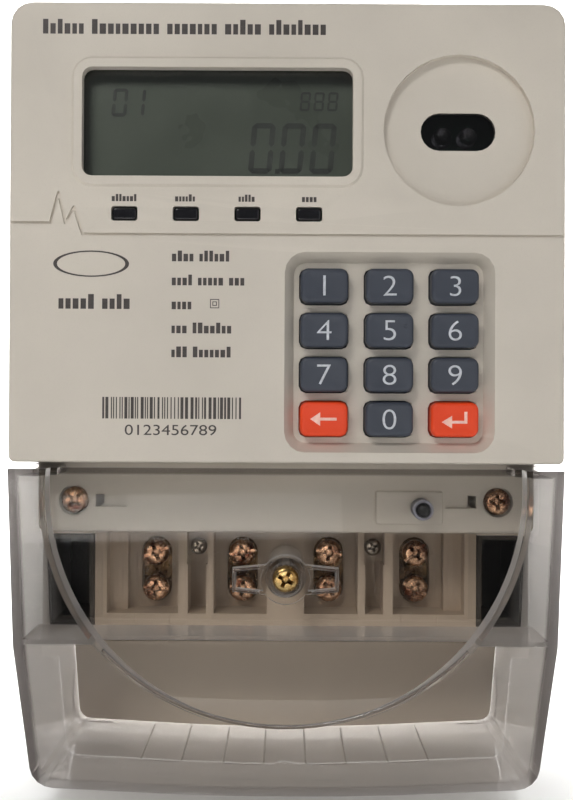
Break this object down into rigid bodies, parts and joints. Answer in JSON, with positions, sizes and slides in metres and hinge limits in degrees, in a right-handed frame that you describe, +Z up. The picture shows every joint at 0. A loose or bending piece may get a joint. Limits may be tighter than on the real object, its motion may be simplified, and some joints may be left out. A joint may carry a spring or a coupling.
{
  "type": "prepaid electricity meter",
  "caption": "Wall-mounted prepaid electricity meter with display, optical port, keypad and a clear cover that pulls off the screw terminals.",
  "frame": {"origin": "on the flat back of the base casing, midway across, at the face that lies on the wall", "axes": "+X to the right seen from the front, +Y into the wall, +Z up"},
  "size_m": [0.1396, 0.0686, 0.2025],
  "materials": {
    "housing_beige": "fine moulded grain, warm light beige",
    "clear_cover": "clear polycarbonate with a faint smoky tint",
    "clear_window": "clear window",
    "lcd_glass": "grey-green display glass",
    "smoked_lens": "near-black infrared lens",
    "key_slate": "slate grey keypad rubber",
    "key_orange": "orange keypad rubber",
    "silicone": "translucent white silicone",
    "board_green": "green solder mask",
    "transformer_steel": "laminated steel",
    "blue_sleeve": "shrink sleeve",
    "copper_bar": "bare copper",
    "brass_cage": "machined brass",
    "bronze_screw": "passivated bronze colour",
    "gold_screw": "yellow zinc",
    "steel_screw": "zinc plated",
    "black_plastic": "black moulding",
    "black_rubber": "dull black rubber",
    "grey_rubber": "grey rubber"
  },
  "bodies": {
    "case": {"base_casing": "housing_beige", "front_housing": "housing_beige", "terminal_block": "housing_beige", "lcd_window": "clear_window", "lcd_panel": "lcd_glass", "lcd_holder": "black_plastic", "latching_relay": "black_plastic", "current_transformer": "black_plastic", "tamper_switch": "black_plastic", "optical_window": "smoked_lens", "ir_emitter": "smoked_lens", "ir_receiver": "smoked_lens", "lamp_window_1": "smoked_lens", "lamp_window_2": "smoked_lens", "lamp_window_3": "smoked_lens", "lamp_window_4": "smoked_lens", "keypad_mat": "silicone", "main_board": "board_green", "supply_transformer": "transformer_steel", "filter_capacitor": "blue_sleeve", "backup_battery": "blue_sleeve", "current_shunt_bar": "copper_bar", "live_out_bar": "copper_bar", "neutral_bar": "copper_bar", "cage_live_in": "brass_cage", "cage_live_out": "brass_cage", "cage_neutral_in": "brass_cage", "cage_neutral_out": "brass_cage", "housing_gasket": "black_rubber", "fixing_seal_left": "black_rubber", "fixing_seal_right": "black_rubber", "tamper_boot": "grey_rubber"},
    "key_1": {"key_1": "key_slate"},
    "key_2": {"key_2": "key_slate"},
    "key_3": {"key_3": "key_slate"},
    "key_4": {"key_4": "key_slate"},
    "key_5": {"key_5": "key_slate"},
    "key_6": {"key_6": "key_slate"},
    "key_7": {"key_7": "key_slate"},
    "key_8": {"key_8": "key_slate"},
    "key_9": {"key_9": "key_slate"},
    "key_back": {"key_back": "key_orange"},
    "key_0": {"key_0": "key_slate"},
    "key_enter": {"key_enter": "key_orange"},
    "terminal_cover": {"terminal_cover": "clear_cover"},
    "cover_screw": {"cover_screw": "gold_screw"},
    "screw_live_in_high": {"screw_live_in_high": "bronze_screw"},
    "screw_live_in_low": {"screw_live_in_low": "bronze_screw"},
    "screw_live_out_high": {"screw_live_out_high": "bronze_screw"},
    "screw_live_out_low": {"screw_live_out_low": "bronze_screw"},
    "screw_neutral_in_high": {"screw_neutral_in_high": "bronze_screw"},
    "screw_neutral_in_low": {"screw_neutral_in_low": "bronze_screw"},
    "screw_neutral_out_high": {"screw_neutral_out_high": "bronze_screw"},
    "screw_neutral_out_low": {"screw_neutral_out_low": "bronze_screw"},
    "link_screw_left": {"link_screw_left": "steel_screw"},
    "link_screw_right": {"link_screw_right": "steel_screw"},
    "case_screw_left": {"case_screw_left": "bronze_screw"},
    "case_screw_right": {"case_screw_right": "bronze_screw"},
    "tamper_plunger": {"tamper_plunger": "black_plastic"},
    "wall_hanger": {"wall_hanger": "housing_beige"}
  },
  "joints": [
    {"name": "key_1_press", "type": "slide", "parent": "case", "child": "key_1", "axis": [0, 1, 0], "range_m": [0, 0.001], "stiffness_N_per_m": 400, "springref_m": -0.0005},
    {"name": "key_2_press", "type": "slide", "parent": "case", "child": "key_2", "axis": [0, 1, 0], "range_m": [0, 0.001], "stiffness_N_per_m": 400, "springref_m": -0.0005},
    {"name": "key_3_press", "type": "slide", "parent": "case", "child": "key_3", "axis": [0, 1, 0], "range_m": [0, 0.001], "stiffness_N_per_m": 400, "springref_m": -0.0005},
    {"name": "key_4_press", "type": "slide", "parent": "case", "child": "key_4", "axis": [0, 1, 0], "range_m": [0, 0.001], "stiffness_N_per_m": 400, "springref_m": -0.0005},
    {"name": "key_5_press", "type": "slide", "parent": "case", "child": "key_5", "axis": [0, 1, 0], "range_m": [0, 0.001], "stiffness_N_per_m": 400, "springref_m": -0.0005},
    {"name": "key_6_press", "type": "slide", "parent": "case", "child": "key_6", "axis": [0, 1, 0], "range_m": [0, 0.001], "stiffness_N_per_m": 400, "springref_m": -0.0005},
    {"name": "key_7_press", "type": "slide", "parent": "case", "child": "key_7", "axis": [0, 1, 0], "range_m": [0, 0.001], "stiffness_N_per_m": 400, "springref_m": -0.0005},
    {"name": "key_8_press", "type": "slide", "parent": "case", "child": "key_8", "axis": [0, 1, 0], "range_m": [0, 0.001], "stiffness_N_per_m": 400, "springref_m": -0.0005},
    {"name": "key_9_press", "type": "slide", "parent": "case", "child": "key_9", "axis": [0, 1, 0], "range_m": [0, 0.001], "stiffness_N_per_m": 400, "springref_m": -0.0005},
    {"name": "key_back_press", "type": "slide", "parent": "case", "child": "key_back", "axis": [0, 1, 0], "range_m": [0, 0.001], "stiffness_N_per_m": 400, "springref_m": -0.0005},
    {"name": "key_0_press", "type": "slide", "parent": "case", "child": "key_0", "axis": [0, 1, 0], "range_m": [0, 0.001], "stiffness_N_per_m": 400, "springref_m": -0.0005},
    {"name": "key_enter_press", "type": "slide", "parent": "case", "child": "key_enter", "axis": [0, 1, 0], "range_m": [0, 0.001], "stiffness_N_per_m": 400, "springref_m": -0.0005},
    {"name": "cover_pull_off", "type": "slide", "parent": "case", "child": "terminal_cover", "axis": [0, -1, 0], "range_m": [0, 0.08]},
    {"name": "cover_screw_turn", "type": "hinge", "parent": "terminal_cover", "child": "cover_screw", "pos_m": [0, -0.06, -0.0456], "axis": [0, 1, 0], "continuous": true},
    {"name": "screw_live_in_high_turn", "type": "hinge", "parent": "case", "child": "screw_live_in_high", "pos_m": [-0.03735, -0.024, -0.044], "axis": [0, 1, 0], "continuous": true},
    {"name": "screw_live_in_low_turn", "type": "hinge", "parent": "case", "child": "screw_live_in_low", "pos_m": [-0.03735, -0.024, -0.0543], "axis": [0, 1, 0], "continuous": true},
    {"name": "screw_live_out_high_turn", "type": "hinge", "parent": "case", "child": "screw_live_out_high", "pos_m": [-0.01245, -0.024, -0.044], "axis": [0, 1, 0], "continuous": true},
    {"name": "screw_live_out_low_turn", "type": "hinge", "parent": "case", "child": "screw_live_out_low", "pos_m": [-0.01245, -0.024, -0.0543], "axis": [0, 1, 0], "continuous": true},
    {"name": "screw_neutral_in_high_turn", "type": "hinge", "parent": "case", "child": "screw_neutral_in_high", "pos_m": [0.01245, -0.024, -0.044], "axis": [0, 1, 0], "continuous": true},
    {"name": "screw_neutral_in_low_turn", "type": "hinge", "parent": "case", "child": "screw_neutral_in_low", "pos_m": [0.01245, -0.024, -0.0543], "axis": [0, 1, 0], "continuous": true},
    {"name": "screw_neutral_out_high_turn", "type": "hinge", "parent": "case", "child": "screw_neutral_out_high", "pos_m": [0.03735, -0.024, -0.044], "axis": [0, 1, 0], "continuous": true},
    {"name": "screw_neutral_out_low_turn", "type": "hinge", "parent": "case", "child": "screw_neutral_out_low", "pos_m": [0.03735, -0.024, -0.0543], "axis": [0, 1, 0], "continuous": true},
    {"name": "link_screw_left_turn", "type": "hinge", "parent": "case", "child": "link_screw_left", "pos_m": [-0.0249, -0.026, -0.042], "axis": [0, 1, 0], "continuous": true},
    {"name": "link_screw_right_turn", "type": "hinge", "parent": "case", "child": "link_screw_right", "pos_m": [0.0249, -0.026, -0.042], "axis": [0, 1, 0], "continuous": true},
    {"name": "case_screw_left_turn", "type": "hinge", "parent": "case", "child": "case_screw_left", "pos_m": [-0.05675, -0.046, -0.0271], "axis": [0, 1, 0], "continuous": true},
    {"name": "case_screw_right_turn", "type": "hinge", "parent": "case", "child": "case_screw_right", "pos_m": [0.05675, -0.046, -0.0271], "axis": [0, 1, 0], "continuous": true},
    {"name": "tamper_plunger_press", "type": "slide", "parent": "case", "child": "tamper_plunger", "axis": [0, 1, 0], "range_m": [0, 0.0015], "stiffness_N_per_m": 300, "springref_m": -0.0005},
    {"name": "wall_hanger_slide", "type": "slide", "parent": "case", "child": "wall_hanger", "axis": [0, 0, 1], "range_m": [0, 0.01]}
  ]
}
